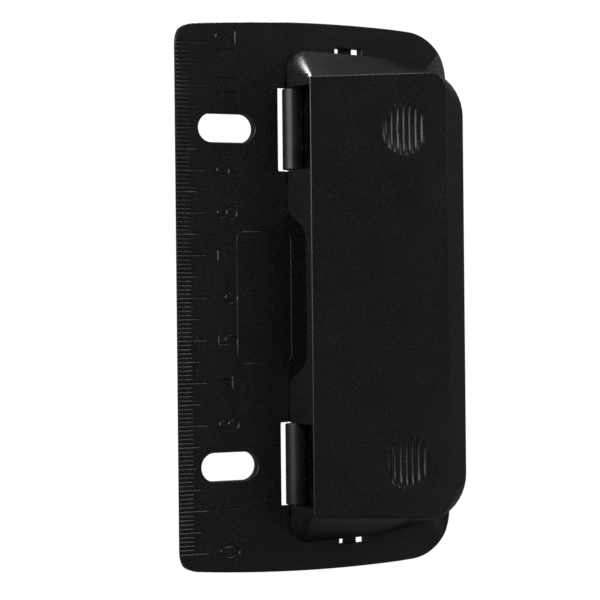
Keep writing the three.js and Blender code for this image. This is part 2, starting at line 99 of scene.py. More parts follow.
# base plate
END_BOW = 1.8
RULER_CORNER = 5
THROAT_CORNER = 12
PLATE_EDGE = 0.25
RULER_EDGE_LAND = 0.6
LEAD_IN_WIDTH = 1.9
LEAD_IN_DROP = 0.55
LEAD_IN_EASE = 0.45
LEAD_IN_EASE_DROP = 0.11
SLOT_LENGTH = 14.8
SLOT_WIDTH = 6.8
POCKET_FIT = 0.3
POCKET_FLOOR_GAP = 0.05
CHIP_HOLE = 3.45
RIVET_RECESS_RADIUS = 2
RIVET_RECESS_TOP = 0.75
RIVET_SPOTS = ("rear_rivet_a", "rear_rivet_b", "front_rivet")

# hinge knuckle and die plate
SHEET = 1.4
KNUCKLE_OUTER = 2.45
KNUCKLE_BORE = 1.05
SEAM = 0.25
KNUCKLE_END = 0.3
WINDOW_REAR = HINGE.x - KNUCKLE_OUTER - 1.2
WINDOW_FRONT = HINGE.x + KNUCKLE_OUTER + 0.5
WINDOW_END_GAP = 0.3
CHEEK_EYE = 1.35
CHEEK_EYE_ROOM = 0.4
CHEEK_INSET = 0.1
CHEEK_ROOM = 0.3

# limit lugs
LUG_X = 9.1
LUG_WIDTH = 3.3
LUG_SLOT_WIDTH = 2
LUG_THICKNESS = 1.4
LUG_ROOT = 0.5
LUG_NOSE = 1
LUG_NOSE_RISE = 1.3
LUG_NOSE_LAND = 0.4
LUG_NOSE_HEIGHT = 1.2
LUG_SLOT_BEHIND = 0.4
LUG_SLOT_BEYOND = 0.8
LUG_RECESS_FLOOR = 1
LUG_RECESS_ROOM = 0.3

# lever
SKIRT_GAP = 0.35
CREASE = LIP - 7.2
SKIRT_REAR = HALF_LENGTH - 6.55
SKIRT_MIDDLE = SKIRT_REAR - 1.2
SKIRT_FRONT = SKIRT_REAR - 5.8
SKIRT_MIDDLE_X = 14
TOP_REAR = SKIRT_REAR - 7.5
TOP_FRONT = SKIRT_REAR - 5.2
LIP_LAND = 0.8
WALL = 1.9
ROOF_INSIDE = LEVER_TOP - 1.8
LIP_CORNER = 12
LIP_CORNER_REACH = 9.8
SIDE_BEND = 60
SIDE_BEND_REACH = 4.35
REAR_CORNER = 5
REAR_CORNER_REACH = 4.7
CREASE_CORNER = 5
CREASE_CORNER_REACH = 4.7
TOP_REAR_CORNER = 0.8
TOP_REAR_CORNER_REACH = 0.78
TOP_EDGE = 0.45
CREASE_EDGE = 0.15
SKIRT_EDGE = 0.25
CHEEK_THICKNESS = 2.5
CHEEK_DEPTH = 2.85
CHEEK_EDGE = 0.22
OPENING_SLOPE = 1.2
OPENING_TOP = 0.35
LEDGE_HEIGHT = 1
LEDGE_REACH = 1
LEDGE_OVERLAP = 0.6
BOSS_RADIUS = 4.6
BOSS_DROP = 1.1
ARCH_FOOT = 20.2
ARCH_TOP = 15.5
ARCH_HEIGHT = 9.3
ARCH_CORNER = 5
LUG_OUTER = SKIRT_MIDDLE - 6

# finger pads
PAD_RADIUS = 6.45
PAD_DEPTH = 0.62
RIB_PITCH = 1.65
RIB_HEIGHT = 0.36
PAD_COLUMNS = 128
PAD_ROWS = 56

# ruler marks
TICK_LENGTHS = {"millimetre": 3.7, "half": 5.5, "centimetre": 7.5}
TICK_WIDTH = 0.46
TICK_DEPTH = 0.17
RULER_CENTIMETRES = 12
NUMERAL_X = SLOT_X - 0.3
NUMERAL_HEIGHT = 5
NUMERAL_WIDTH = 2.5
NUMERAL_GAP = 0.75
STROKE_WIDTH = 0.5
STROKE_DEPTH = 0.19
OUTLINE_WIDTH = 0.34
OUTLINE_DEPTH = 0.09
PANEL_REAR = -21.4
PANEL_FRONT = -7.1
PANEL_HALF_LENGTH = 15.65
PANEL_CORNER = 2.1

# punching units
GUIDE_SHEET = 1
GUIDE_NOSE = 6.3
GUIDE_CORNER = 1.5
PAPER_STOP = 12
PUNCH_FIT = 0.12
PUNCH_DOME = 0.5
PUNCH_NOTCH = 0.9
CLIP_GROOVE = 0.6
CLIP_PLAY = 0.12
CLIP_MOUTH = math.radians(30)
SPRING_WIRE = 0.3
SPRING_TURNS = 3
SPRING_BORE_GAP = 0.25
SPRING_NEST_GAP = 0.02
RIVET_HOLE = 1.1
RIVET_SHANK = 1
RIVET_HEAD = 0.5
FLUSH_SEAT_RADIUS = 2
FLUSH_SEAT_DEPTH = 0.7

# camera, floor and surroundings
CAMERA_SENSOR = 36
CAMERA_LENS = 137.10822
CAMERA_TILT = math.radians(26.998)
CAMERA_SWING = math.radians(0.176)
CAMERA_ROLL = math.radians(-0.572)
CAMERA_DISTANCE = 548.018
CAMERA_AIM = Vector((-4.668, -0.812, PLATE_TOP))
FLOOR_LEVEL = -0.05
FLOOR_RINGS = (400, 1500, 6000)
FLOOR_DIM = 0.11
SKY_DIM = 0.085


def skirt_height(x):
    """Height of the lever's lower edge, which lies along the plate when the lever is pressed."""
    return PLATE_TOP + SKIRT_GAP + (x - HINGE.x) * math.tan(PRESS_ANGLE)


# ---- outlines ------------------------------------------------------------------------

def corner_arc(before, corner, after, radius, steps, reach=None):
    """Points of the arc that rounds one corner. reach is how far it starts from the corner."""
    to_before = (before - corner).normalized()
    to_after = (after - corner).normalized()
    turn = math.pi - to_before.angle(to_after)
    if reach is None:
        reach = radius * math.tan(turn / 2)
    weight = math.cos(turn / 2)
    start = corner + to_before * reach
    end = corner + to_after * reach
    points = []
    for k in range(steps + 1):
        t = k / steps
        a, b, c = (1 - t) ** 2, 2 * weight * t * (1 - t), t ** 2
        points.append((start * a + corner * b + end * c) / (a + b + c))
    return points


def rounded(corners, steps=8):
    """A closed loop from corners (x, y, radius) or (x, y, radius, reach)."""
    spots = [Vector(c[:2]) for c in corners]
    points = []
    for i, corner in enumerate(corners):
        if corner[2] == 0:
            points.append(spots[i])
            continue
        after = spots[(i + 1) % len(spots)]
        reach = corner[3] if len(corner) > 3 else None
        points += corner_arc(spots[i - 1], spots[i], after, corner[2], steps, reach)
    return points


def mirrored(half):
    """Corners of an outline from those on its far half."""
    return half + [(c[0], -c[1], *c[2:]) for c in reversed(half)]


def circle(x, y, radius, sides=48):
    turns = [2 * math.pi * k / sides for k in range(sides)]
    return [Vector((x + radius * math.cos(a), y + radius * math.sin(a))) for a in turns]


def rectangle(low, high, radius=0.0, steps=4):
    corners = [(high[0], high[1]), (low[0], high[1]), (low[0], low[1]), (high[0], low[1])]
    return rounded([(x, y, radius) for x, y in corners], steps)


def wound(points, hole):
    """The loop turning left, or right if it is a hole, so that the material is on its left."""
    area = sum(points[i - 1].x * p.y - p.x * points[i - 1].y for i, p in enumerate(points))
    return points if (area > 0) != hole else points[::-1]


def inset(points, distance):
    """The loop moved to its left."""
    moved = []
    for i, point in enumerate(points):
        ahead = (points[(i + 1) % len(points)] - point).normalized()
        behind = (point - points[i - 1]).normalized()
        side = Vector((-behind.y - ahead.y, behind.x + ahead.x))
        moved.append(point + side * (2 * distance / side.length_squared))
    return moved


def rounded_edges(low, high, low_radius, high_radius, steps=3):
    """The (inset, height) profile of a plate from one face to the other, with its edges rounded."""
    profile = []
    for k in range(steps + 1):
        a = math.pi / 2 * k / steps
        profile.append((low_radius * (1 - math.sin(a)), low + low_radius * (1 - math.cos(a))))
    for k in range(steps, -1, -1):
        a = math.pi / 2 * k / steps
        profile.append((high_radius * (1 - math.sin(a)), high - high_radius * (1 - math.cos(a))))
    return profile


# ---- solids --------------------------------------------------------------------------

def in_plan(u, v, w):
    return Vector((u, v, w))


def across_y(u, v, w):
    return Vector((u, w, v))


def along_x(u, v, w):
    return Vector((w, u, v))


def skin(bm, rings):
    """Quads between closed rings of points, each as long as the next."""
    for lower, upper in zip(rings, rings[1:]):
        for i in range(len(lower)):
            bm.faces.new((lower[i - 1], lower[i], upper[i], upper[i - 1]))


def fill(bm, rings):
    """A flat face inside the first ring and outside the others."""
    edges = [bm.edges.get((ring[i - 1], ring[i])) for ring in rings for i in range(len(ring))]
    bmesh.ops.triangle_fill(bm, use_beauty=True, edges=edges)


def slab(bm, loops, profile, place=in_plan):
    """A closed solid with the outline loops[0], holes for the other loops, and edges as profile says."""
    stacks = []
    for number, loop in enumerate(loops):
        points = wound(loop, hole=number > 0)
        stack = [[bm.verts.new(place(*p, w)) for p in inset(points, d)] for d, w in profile]
        skin(bm, stack)
        stacks.append(stack)
    fill(bm, [stack[0] for stack in stacks])
    fill(bm, [stack[-1] for stack in stacks])


def plain(low, high):
    return [(0, low), (0, high)]


def block(bm, low, high):
    slab(bm, [rectangle(low[:2], high[:2])], plain(low[2], high[2]))


def post(bm, spot, radius, low, high, sides=48):
    slab(bm, [circle(spot[0], spot[1], radius, sides)], plain(low, high))


def rod(bm, radius, low, high):
    """A rod on the hinge line."""
    slab(bm, [circle(HINGE.x, HINGE.z, radius)], plain(low, high), across_y)


def turned(bm, profile, spot, sides=48):
    """A body turned about an upright axis; its (radius, height) profile starts and ends at radius 0."""
    ends = [bm.verts.new((spot[0], spot[1], profile[k][1])) for k in (0, -1)]
    rings = []
    for radius, height in profile[1:-1]:
        rings.append([bm.verts.new((p.x, p.y, height)) for p in circle(*spot, radius, sides)])
    skin(bm, rings)
    for end, ring in zip(ends, (rings[0], rings[-1])):
        for i in range(sides):
            bm.faces.new((ring[i - 1], ring[i], end))


def combined(body, tool, operation):
    """body joined with, cut by or clipped to tool."""
    parts = []
    for bm in (body, tool):
        bmesh.ops.recalc_face_normals(bm, faces=bm.faces)
        mesh = bpy.data.meshes.new("part")
        bm.to_mesh(mesh)
        bm.free()
        part = bpy.data.objects.new("part", mesh)
        bpy.context.scene.collection.objects.link(part)
        parts.append(part)
    modifier = parts[0].modifiers.new("combine", "BOOLEAN")
    modifier.operation = operation
    modifier.object = parts[1]
    modifier.solver = "EXACT"
    modifier.use_self = True
    depsgraph = bpy.context.evaluated_depsgraph_get()
    result = bmesh.new()
    result.from_mesh(parts[0].evaluated_get(depsgraph).to_mesh())
    for part in parts:
        mesh = part.data
        bpy.data.objects.remove(part)
        bpy.data.meshes.remove(mesh)
    return result


def soften(bm, width, where):
    """Rounds the sharp edges whose ends lie where the given test holds."""
    inside = [v for v in bm.verts if where(v.co)]
    bmesh.ops.remove_doubles(bm, verts=inside, dist=0.004)
    chosen = {v for v in bm.verts if where(v.co)}
    edges = [e for e in bm.edges if chosen.issuperset(e.verts)]
    bmesh.ops.dissolve_limit(bm, angle_limit=math.radians(0.5), verts=list(chosen), edges=edges)
    sharp = []
    for edge in bm.edges:
        if len(edge.link_faces) == 2 and edge.calc_face_angle(0) > math.radians(32):
            if all(where(v.co) for v in edge.verts):
                sharp.append(edge)
    bmesh.ops.bevel(
        bm, geom=sharp, offset=width, offset_type="OFFSET", segments=2,
        profile=0.5, affect="EDGES", clamp_overlap=False,
    )


# ---- materials -----------------------------------------------------------------------

def add_node(tree, kind, links=None, **settings):
    """A node with its properties set, its numbered or named inputs filled, and its inputs linked."""
    node = tree.nodes.new(kind)
    for name, value in settings.items():
        setattr(node, name, value)
    for name, value in (links or {}).items():
        socket = node.inputs[name]
        if isinstance(value, bpy.types.NodeSocket):
            tree.links.new(value, socket)
        else:
            socket.default_value = value
    return node


def new_group(name, inputs, outputs):
    """An empty shader node group with float inputs (name, value) and named float outputs."""
    group = bpy.data.node_groups.new(name, "ShaderNodeTree")
    for label, value in inputs:
        socket = group.interface.new_socket(label, in_out="INPUT", socket_type="NodeSocketFloat")
        socket.default_value = value
    for label in outputs:
        group.interface.new_socket(label, in_out="OUTPUT", socket_type="NodeSocketFloat")
    return group, group.nodes.new("NodeGroupInput"), group.nodes.new("NodeGroupOutput")


def arithmetic(tree, operation, a, b):
    return add_node(tree, "ShaderNodeMath", {0: a, 1: b}, operation=operation).outputs[0]


def noise(tree, place, scale, detail, rough=0.5):
    links = {"Vector": place, "Scale": scale, "Detail": detail, "Roughness": rough}
    return add_node(tree, "ShaderNodeTexNoise", links).outputs["Fac"]


def spread(tree, value, low, high, to_low=0.0, to_high=1.0):
    links = {0: value, 1: low, 2: high, 3: to_low, 4: to_high}
    return add_node(tree, "ShaderNodeMapRange", links, clamp=True).outputs[0]


def moulded_grain_group():
    """Fine matt grain of a spark-eroded mould, and the slow change in tone over a moulding."""
    group, inside, outside = new_group(
        "moulded_grain", [("Grain per metre", 3000.0), ("Tone per metre", 40.0)], ["Height", "Tone", "Speck"]
    )
    place = add_node(group, "ShaderNodeTexCoord").outputs["Object"]
    fine = noise(group, place, inside.outputs["Grain per metre"], 3.0, 0.6)
    cells = add_node(
        group, "ShaderNodeTexVoronoi", {"Vector": place, "Scale": inside.outputs["Grain per metre"]}
    ).outputs["Distance"]
    height = arithmetic(group, "ADD", fine, arithmetic(group, "MULTIPLY", cells, 0.4))
    slow = noise(group, place, inside.outputs["Tone per metre"], 5.0, 0.62)
    group.links.new(height, outside.inputs["Height"])
    group.links.new(spread(group, slow, 0.32, 0.68), outside.inputs["Tone"])
    lint = noise(group, place, inside.outputs["Grain per metre"], 2.0, 0.7)
    patch = spread(group, noise(group, place, 130.0, 3.0), 0.3, 0.7, 0.35, 1.0)
    speck = arithmetic(group, "MULTIPLY", spread(group, lint, 0.5, 0.78), patch)
    group.links.new(speck, outside.inputs["Speck"])
    return group


def edge_wear_group():
    """Rubbed edges: a mask where the surface turns outwards, broken up by noise."""
    group, inside, outside = new_group(
        "edge_wear", [("Reach", 0.06), ("Patches per metre", 220.0)], ["Mask"]
    )
    place = add_node(group, "ShaderNodeTexCoord").outputs["Object"]
    point = add_node(group, "ShaderNodeNewGeometry").outputs["Pointiness"]
    top = arithmetic(group, "ADD", 0.51, inside.outputs["Reach"])
    edge = spread(group, point, 0.51, top)
    patches = spread(group, noise(group, place, inside.outputs["Patches per metre"], 4.0), 0.38, 0.62)
    group.links.new(arithmetic(group, "MULTIPLY", edge, patches), outside.inputs["Mask"])
    return group


def handling_group():
    """Where hands and desks have polished or dusted the surface, with a few hair-fine scratches."""
    group, inside, outside = new_group(
        "handling", [("Smears per metre", 55.0), ("Scratches", 0.5)], ["Polish", "Scratch"]
    )
    place = add_node(group, "ShaderNodeTexCoord").outputs["Object"]
    smear = noise(group, place, inside.outputs["Smears per metre"], 6.0, 0.55)
    scratches = None
    for angle in (0.35, 2.1):
        turned_place = add_node(
            group, "ShaderNodeMapping",
            {"Vector": place, "Rotation": (0, 0, angle), "Scale": (1, 0.03, 1)},
        ).outputs["Vector"]
        hair = spread(group, noise(group, turned_place, 2600.0, 2.0), 0.72, 0.78)
        scratches = hair if scratches is None else arithmetic(group, "MAXIMUM", scratches, hair)
    gate = spread(group, noise(group, place, 90.0, 2.0), 0.5, 0.6)
    gated = arithmetic(group, "MULTIPLY", scratches, gate)
    shown = arithmetic(group, "MULTIPLY", gated, inside.outputs["Scratches"])
    group.links.new(spread(group, smear, 0.35, 0.7), outside.inputs["Polish"])
    group.links.new(shown, outside.inputs["Scratch"])
    return group


def drawn_metal_group():
    """Fine lines left by rolling and drawing, along Y or up the axis of a pin."""
    group, inside, outside = new_group(
        "drawn_metal",
        [("Lines per metre", 6000.0), ("Stretch Y", 0.02), ("Stretch Z", 1.0)],
        ["Height", "Tone"],
    )
    place = add_node(group, "ShaderNodeTexCoord").outputs["Object"]
    stretch = add_node(
        group, "ShaderNodeCombineXYZ",
        {"X": 1.0, "Y": inside.outputs["Stretch Y"], "Z": inside.outputs["Stretch Z"]},
    ).outputs["Vector"]
    scaled = add_node(
        group, "ShaderNodeVectorMath", {0: place, 1: stretch}, operation="MULTIPLY"
    ).outputs["Vector"]
    lines = noise(group, scaled, inside.outputs["Lines per metre"], 4.0, 0.6)
    blotch = noise(group, place, 420.0, 4.0, 0.6)
    group.links.new(lines, outside.inputs["Height"])
    group.links.new(spread(group, blotch, 0.3, 0.7), outside.inputs["Tone"])
    return group


GRAIN = moulded_grain_group()
WEAR = edge_wear_group()
HANDLING = handling_group()
DRAWN = drawn_metal_group()


def use_group(tree, group, values=None):
    """The outputs of a group placed in a material, with its own values for the named inputs."""
    node = add_node(tree, "ShaderNodeGroup", node_tree=group)
    for name, value in (values or {}).items():
        node.inputs[name].default_value = value
    return node.outputs


def mix_colours(tree, factor, first, second):
    node = add_node(tree, "ShaderNodeMix", data_type="RGBA")
    tree.links.new(factor, node.inputs["Factor"])
    for socket, value in (("A", first), ("B", second)):
        target = next(s for s in node.inputs if s.name == socket and s.type == "RGBA")
        if isinstance(value, bpy.types.NodeSocket):
            tree.links.new(value, target)
        else:
            target.default_value = (*value, 1)
    return next(s for s in node.outputs if s.type == "RGBA")


def start_material(name):
    material = bpy.data.materials.new(name)
    material.use_nodes = True
    tree = material.node_tree
    return material, tree, tree.nodes["Principled BSDF"]


def moulded_plastic(name, dark, light, worn, dust, roughness, grain, depth):
    """Moulded black plastic: grain in the bump, slow tone, rubbed edges and polished patches."""
    material, tree, shader = start_material(name)
    surface = use_group(tree, GRAIN, {"Grain per metre": grain})
    wear = use_group(tree, WEAR)["Mask"]
    handling = use_group(tree, HANDLING)
    body = mix_colours(tree, surface["Tone"], dark, light)
    body = mix_colours(tree, surface["Speck"], body, dust)
    tree.links.new(mix_colours(tree, wear, body, worn), shader.inputs["Base Color"])
    dull = spread(tree, handling["Polish"], 0.0, 1.0, roughness + 0.05, roughness - 0.05)
    rough = arithmetic(tree, "SUBTRACT", dull, arithmetic(tree, "MULTIPLY", wear, 0.08))
    tree.links.new(rough, shader.inputs["Roughness"])
    bump = add_node(tree, "ShaderNodeBump", {"Strength": 0.5, "Distance": depth})
    height = arithmetic(tree, "SUBTRACT", surface["Height"], handling["Scratch"])
    tree.links.new(height, bump.inputs["Height"])
    tree.links.new(bump.outputs["Normal"], shader.inputs["Normal"])
    shader.inputs["IOR"].default_value = 1.46
    return material


def worked_steel(name, dark, light, roughness, metallic=1.0, specular=0.5, along_pin=False):
    """Rolled or drawn steel with fine lines and blotches; metallic 0 gives a black coating over it."""
    material, tree, shader = start_material(name)
    stretch = {"Stretch Y": 1.0, "Stretch Z": 0.02} if along_pin else {"Stretch Y": 0.02, "Stretch Z": 1.0}
    lines = use_group(tree, DRAWN, stretch)
    wear = use_group(tree, WEAR, {"Reach": 0.09})["Mask"]
    handling = use_group(tree, HANDLING, {"Scratches": 0.8})
    body = mix_colours(tree, lines["Tone"], dark, light)
    rubbed = tuple(min(1.0, c * 1.5 + 0.01) for c in light)
    tree.links.new(mix_colours(tree, wear, body, rubbed), shader.inputs["Base Color"])
    dull = spread(tree, handling["Polish"], 0.0, 1.0, roughness + 0.06, roughness - 0.06)
    tree.links.new(dull, shader.inputs["Roughness"])
    shader.inputs["Metallic"].default_value = metallic
    shader.inputs["Specular IOR Level"].default_value = specular
    bump = add_node(tree, "ShaderNodeBump", {"Strength": 0.6, "Distance": 2e-6})
    tree.links.new(arithmetic(tree, "SUBTRACT", lines["Height"], handling["Scratch"]), bump.inputs["Height"])
    tree.links.new(bump.outputs["Normal"], shader.inputs["Normal"])
    return material


PLATE_PLASTIC = moulded_plastic(
    "plate_plastic", dark=(0.0035, 0.0035, 0.0038), light=(0.0055, 0.0055, 0.0060),
    worn=(0.012, 0.012, 0.013), dust=(0.032, 0.032, 0.036), roughness=0.36, grain=2200, depth=3e-5,
)
LEVER_PLASTIC = moulded_plastic(
    "lever_plastic", dark=(0.0045, 0.0045, 0.0048), light=(0.0070, 0.0070, 0.0075),
    worn=(0.013, 0.013, 0.014), dust=(0.030, 0.030, 0.034), roughness=0.3, grain=1900, depth=2e-5,
)
COATED_STEEL = worked_steel(
    "blackened_steel", (0.007, 0.007, 0.0075), (0.011, 0.011, 0.012), 0.3, metallic=0.0, specular=0.35
)
PLATED_STEEL = worked_steel("plated_steel", (0.035, 0.035, 0.037), (0.070, 0.070, 0.072), 0.36)
TOOL_STEEL = worked_steel("tool_steel", (0.42, 0.42, 0.42), (0.58, 0.58, 0.57), 0.22, along_pin=True)
SPRING_STEEL = worked_steel("spring_steel", (0.34, 0.34, 0.34), (0.48, 0.48, 0.47), 0.28)
RIVET_STEEL = worked_steel("rivet_steel", (0.40, 0.40, 0.39), (0.56, 0.56, 0.55), 0.33)


# ---- pieces --------------------------------------------------------------------------

def sharp_edge(edge):
    """Whether two faces meet at a crease; the rims of dishes and grooves in flat faces count as one."""
    if len(edge.link_faces) != 2:
        return True
    angle = edge.calc_face_angle(0)
    level = [abs(face.normal.z) > 0.9999 for face in edge.link_faces]
    return angle > SHARP_ANGLE or (angle > RIM_ANGLE and level[0] != level[1])


def make_piece(name, bm, material, body, replaces):
    """A finished object in metres that rides on its body."""
    bmesh.ops.recalc_face_normals(bm, faces=bm.faces)
    bmesh.ops.scale(bm, vec=(MM, MM, MM), verts=bm.verts)
    for face in bm.faces:
        face.smooth = True
    for edge in bm.edges:
        edge.smooth = not sharp_edge(edge)
    mesh = bpy.data.meshes.new(name)
    bm.to_mesh(mesh)
    bm.free()
    mesh.materials.append(material)
    piece = bpy.data.objects.new(name, mesh)
    bpy.context.scene.collection.objects.link(piece)
    weighted = piece.modifiers.new("flat_faces", "WEIGHTED_NORMAL")
    weighted.weight = 90
    weighted.keep_sharp = True
    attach(piece, body)
    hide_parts(*replaces)
    return piece


def node_half(node, axis):
    low, high = node_box(node)
    return (high[axis] - low[axis]) / 2


def hinge_window_half(side):
    return node_half(f"{side}_die_plate", 1) + WINDOW_END_GAP


def lug_slot_reach():
    return LUG_OUTER - LUG_THICKNESS - LUG_SLOT_BEHIND, SKIRT_REAR + LUG_SLOT_BEYOND


def plate_outline():
    corner_y = HALF_LENGTH - END_BOW
    bow_steps = 24
    bow = []
    for k in range(2, bow_steps - 1):
        x = HALF_WIDTH - 2 * HALF_WIDTH * k / bow_steps
        if -HALF_WIDTH + RULER_CORNER + 1 < x < HALF_WIDTH - THROAT_CORNER - 1:
            bow.append((x, corner_y + END_BOW * (1 - (x / HALF_WIDTH) ** 2), 0))
    corners = [(HALF_WIDTH, corner_y, THROAT_CORNER), *bow, (-HALF_WIDTH, corner_y, RULER_CORNER)]
    return rounded(mirrored(corners), steps=14)


def plate_holes():
    half_slot = SLOT_WIDTH / 2
    loops = []
    for side in SIDES:
        y = UNIT_Y[side]
        sign = 1 if y > 0 else -1
        low = (SLOT_X - SLOT_LENGTH / 2, y - half_slot)
        high = (SLOT_X + SLOT_LENGTH / 2, y + half_slot)
        loops.append(rectangle(low, high, half_slot - 0.01, 14))
        half_window = hinge_window_half(side)
        low = (WINDOW_REAR, y - half_window)
        high = (WINDOW_FRONT, y + half_window)
        loops.append(rectangle(low, high, 0.35))
        loops.append(circle(PUNCH_X, y, CHIP_HOLE))
        inner, outer = lug_slot_reach()
        for edge in (-1, 1):
            x = LUG_X + edge * (LUG_WIDTH + LUG_SLOT_WIDTH) / 2
            ends = sorted((sign * inner, sign * outer))
            low = (x - LUG_SLOT_WIDTH / 2, ends[0])
            high = (x + LUG_SLOT_WIDTH / 2, ends[1])
            loops.append(rectangle(low, high, 0.3))
    return loops


def plate_cuts():
    tool = bmesh.new()
    long = HALF_LENGTH + 5
    undercut = PLATE_TOP - RULER_EDGE_LAND
    corners = [
        (-HALF_WIDTH - 1, -1, 0),
        (-HALF_WIDTH + undercut + 1, -1, 0),
        (-HALF_WIDTH - 1, undercut + 1, 0),
    ]
    slab(tool, [rounded(corners)], plain(-long, long), across_y)
    corners = [
        (HALF_WIDTH - LEAD_IN_WIDTH - LEAD_IN_EASE, PLATE_TOP, 0),
        (HALF_WIDTH - LEAD_IN_WIDTH, PLATE_TOP - LEAD_IN_EASE_DROP, 0),
        (HALF_WIDTH + LEAD_IN_WIDTH, PLATE_TOP - LEAD_IN_EASE_DROP - 2 * LEAD_IN_DROP, 0),
        (HALF_WIDTH + LEAD_IN_WIDTH, PLATE_TOP + 1, 0),
        (HALF_WIDTH - LEAD_IN_WIDTH - LEAD_IN_EASE, PLATE_TOP + 1, 0),
    ]
    slab(tool, [rounded(corners)], plain(-long, long), across_y)
    for sign in (1, -1):
        ends = sorted((sign * (LUG_OUTER + 0.1), sign * lug_slot_reach()[1]))
        reach = LUG_WIDTH / 2 + LUG_RECESS_ROOM
        block(tool, (LUG_X - reach, ends[0], LUG_RECESS_FLOOR), (LUG_X + reach, ends[1], PLATE_TOP + 1))
    eye = CHEEK_EYE + CHEEK_EYE_ROOM
    for side in SIDES:
        y = UNIT_Y[side]
        half = node_half(f"{side}_die_plate", 1) + POCKET_FIT
        die_front = node_box(f"{side}_die_plate")[1].x
        floor = PLATE_TOP - SHEET - POCKET_FLOOR_GAP
        block(tool, (WINDOW_FRONT - 1, y - half, floor), (die_front + POCKET_FIT, y + half, PLATE_TOP + 1))
        relief = half - CHEEK_INSET + CHEEK_THICKNESS + CHEEK_ROOM
        block(tool, (HINGE.x - eye, y - relief, HINGE.z - eye), (HINGE.x + eye, y + relief, PLATE_TOP + 1))
        for spot in RIVET_SPOTS:
            centre = middle(f"{side}_{spot}")
            post(tool, centre, RIVET_RECESS_RADIUS, -1, RIVET_RECESS_TOP)
    return tool


def limit_lugs():
    """The two upright lugs between the end slots, each with a nose that holds the lever's ledge."""
    tool = bmesh.new()
    nose_low = skirt_height(LUG_X) + LUG_NOSE_RISE
    for sign in (1, -1):
        inner = LUG_OUTER - LUG_THICKNESS
        corners = [
            (sign * inner, PLATE_TOP - LUG_ROOT, 0),
            (sign * LUG_OUTER, PLATE_TOP - LUG_ROOT, 0),
            (sign * LUG_OUTER, nose_low, 0),
            (sign * (LUG_OUTER + LUG_NOSE), nose_low, 0),
            (sign * (LUG_OUTER + LUG_NOSE), nose_low + LUG_NOSE_LAND, 0),
            (sign * LUG_OUTER, nose_low + LUG_NOSE_HEIGHT, 0),
            (sign * inner, nose_low + LUG_NOSE_HEIGHT, 0),
        ]
        half = LUG_WIDTH / 2
        slab(tool, [rounded(corners)], rounded_edges(LUG_X - half, LUG_X + half, 0.15, 0.15, 2), along_x)
    return tool


def base_plate():
    bm = bmesh.new()
    slab(bm, [plate_outline(), *plate_holes()], rounded_edges(0, PLATE_TOP, PLATE_EDGE, PLATE_EDGE))
    bm = combined(bm, plate_cuts(), "DIFFERENCE")
    bm = combined(bm, limit_lugs(), "UNION")
    bm = combined(bm, engraved_marks(), "DIFFERENCE")
    return make_piece("plate_body", bm, PLATE_PLASTIC, "base", ["base_plate"])


# ---- marks cut in the plate ----------------------------------------------------------

def groove(bm, points, width, depth, closed=False):
    """The cutter for a V groove in the plate along a line of plan points."""
    half = width / 2
    above = 0.1
    section = [(-half, above), (-half, 0), (0, -depth), (half, 0), (half, above)]
    count = len(points)
    rings = []
    for i, point in enumerate(points):
        behind = points[i - 1] if closed or i > 0 else point
        ahead = points[(i + 1) % count] if closed or i < count - 1 else point
        first = (point - behind).normalized() if behind is not point else (ahead - point).normalized()
        second = (ahead - point).normalized() if ahead is not point else first
        across = Vector((-first.y - second.y, first.x + second.x))
        across *= 2 / max(across.length_squared, 1.0)
        ring = []
        for u, w in section:
            spot = point + across * u
            ring.append(bm.verts.new((spot.x, spot.y, PLATE_TOP + w)))
        rings.append(ring)
    if closed:
        rings.append(rings[0])
    skin(bm, rings)
    if not closed:
        bm.faces.new(rings[0])
        bm.faces.new(rings[-1])


def ruler_ticks(bm):
    """Millimetre marks from the ruler edge; those that meet a filing slot stop short of it."""
    edge = -HALF_WIDTH - 0.3
    half_ruler = RULER_CENTIMETRES * 10 / 2
    for k in range(RULER_CENTIMETRES * 10 + 1):
        y = k - half_ruler
        size = "centimetre" if k % 10 == 0 else "half" if k % 5 == 0 else "millimetre"
        end = -HALF_WIDTH + TICK_LENGTHS[size]
        if any(abs(y - UNIT_Y[side]) < SLOT_WIDTH / 2 for side in SIDES):
            end = min(end, SLOT_X - SLOT_LENGTH / 2 - 1.2)
        groove(bm, [Vector((edge, y)), Vector((end, y))], TICK_WIDTH, TICK_DEPTH)


def arc_points(x, y, wide, high, start, end, steps=10):
    """Points of an ellipse arc between two angles in degrees, in numeral units."""
    points = []
    for k in range(steps + 1):
        a = math.radians(start + (end - start) * k / steps)
        points.append((x + wide * math.cos(a), y + high * math.sin(a)))
    return points


def numeral_strokes():
    """Each digit as strokes in a box 1 wide and 2 high."""
    return {
        "0": [arc_points(0.5, 1.0, 0.5, 1.0, 0, 360, 24)],
        "1": [[(0.15, 1.6), (0.55, 2.0), (0.55, 0.0)]],
        "2": [arc_points(0.5, 1.5, 0.5, 0.5, 165, -30, 12) + [(0.0, 0.0), (1.0, 0.0)]],
        "3": [
            arc_points(0.48, 1.52, 0.46, 0.48, 160, -80, 12)
            + arc_points(0.48, 0.53, 0.52, 0.53, 80, -160, 14),
        ],
        "4": [[(0.72, 0.0), (0.72, 2.0), (0.0, 0.6), (1.0, 0.6)]],
        "5": [[(0.92, 2.0), (0.15, 2.0), (0.08, 1.15)] + arc_points(0.48, 0.65, 0.52, 0.65, 130, -150, 14)],
        "6": [[(0.82, 1.95), (0.3, 1.45)] + arc_points(0.5, 0.62, 0.5, 0.62, 160, 520, 22)],
        "7": [[(0.0, 2.0), (1.0, 2.0), (0.38, 0.0)]],
        "8": [
            arc_points(0.5, 1.52, 0.42, 0.48, -90, 270, 18),
            arc_points(0.5, 0.52, 0.5, 0.52, 90, 450, 20),
        ],
        "9": [[(0.18, 0.05), (0.7, 0.55)] + arc_points(0.5, 1.38, 0.5, 0.62, -20, 340, 22)],
    }


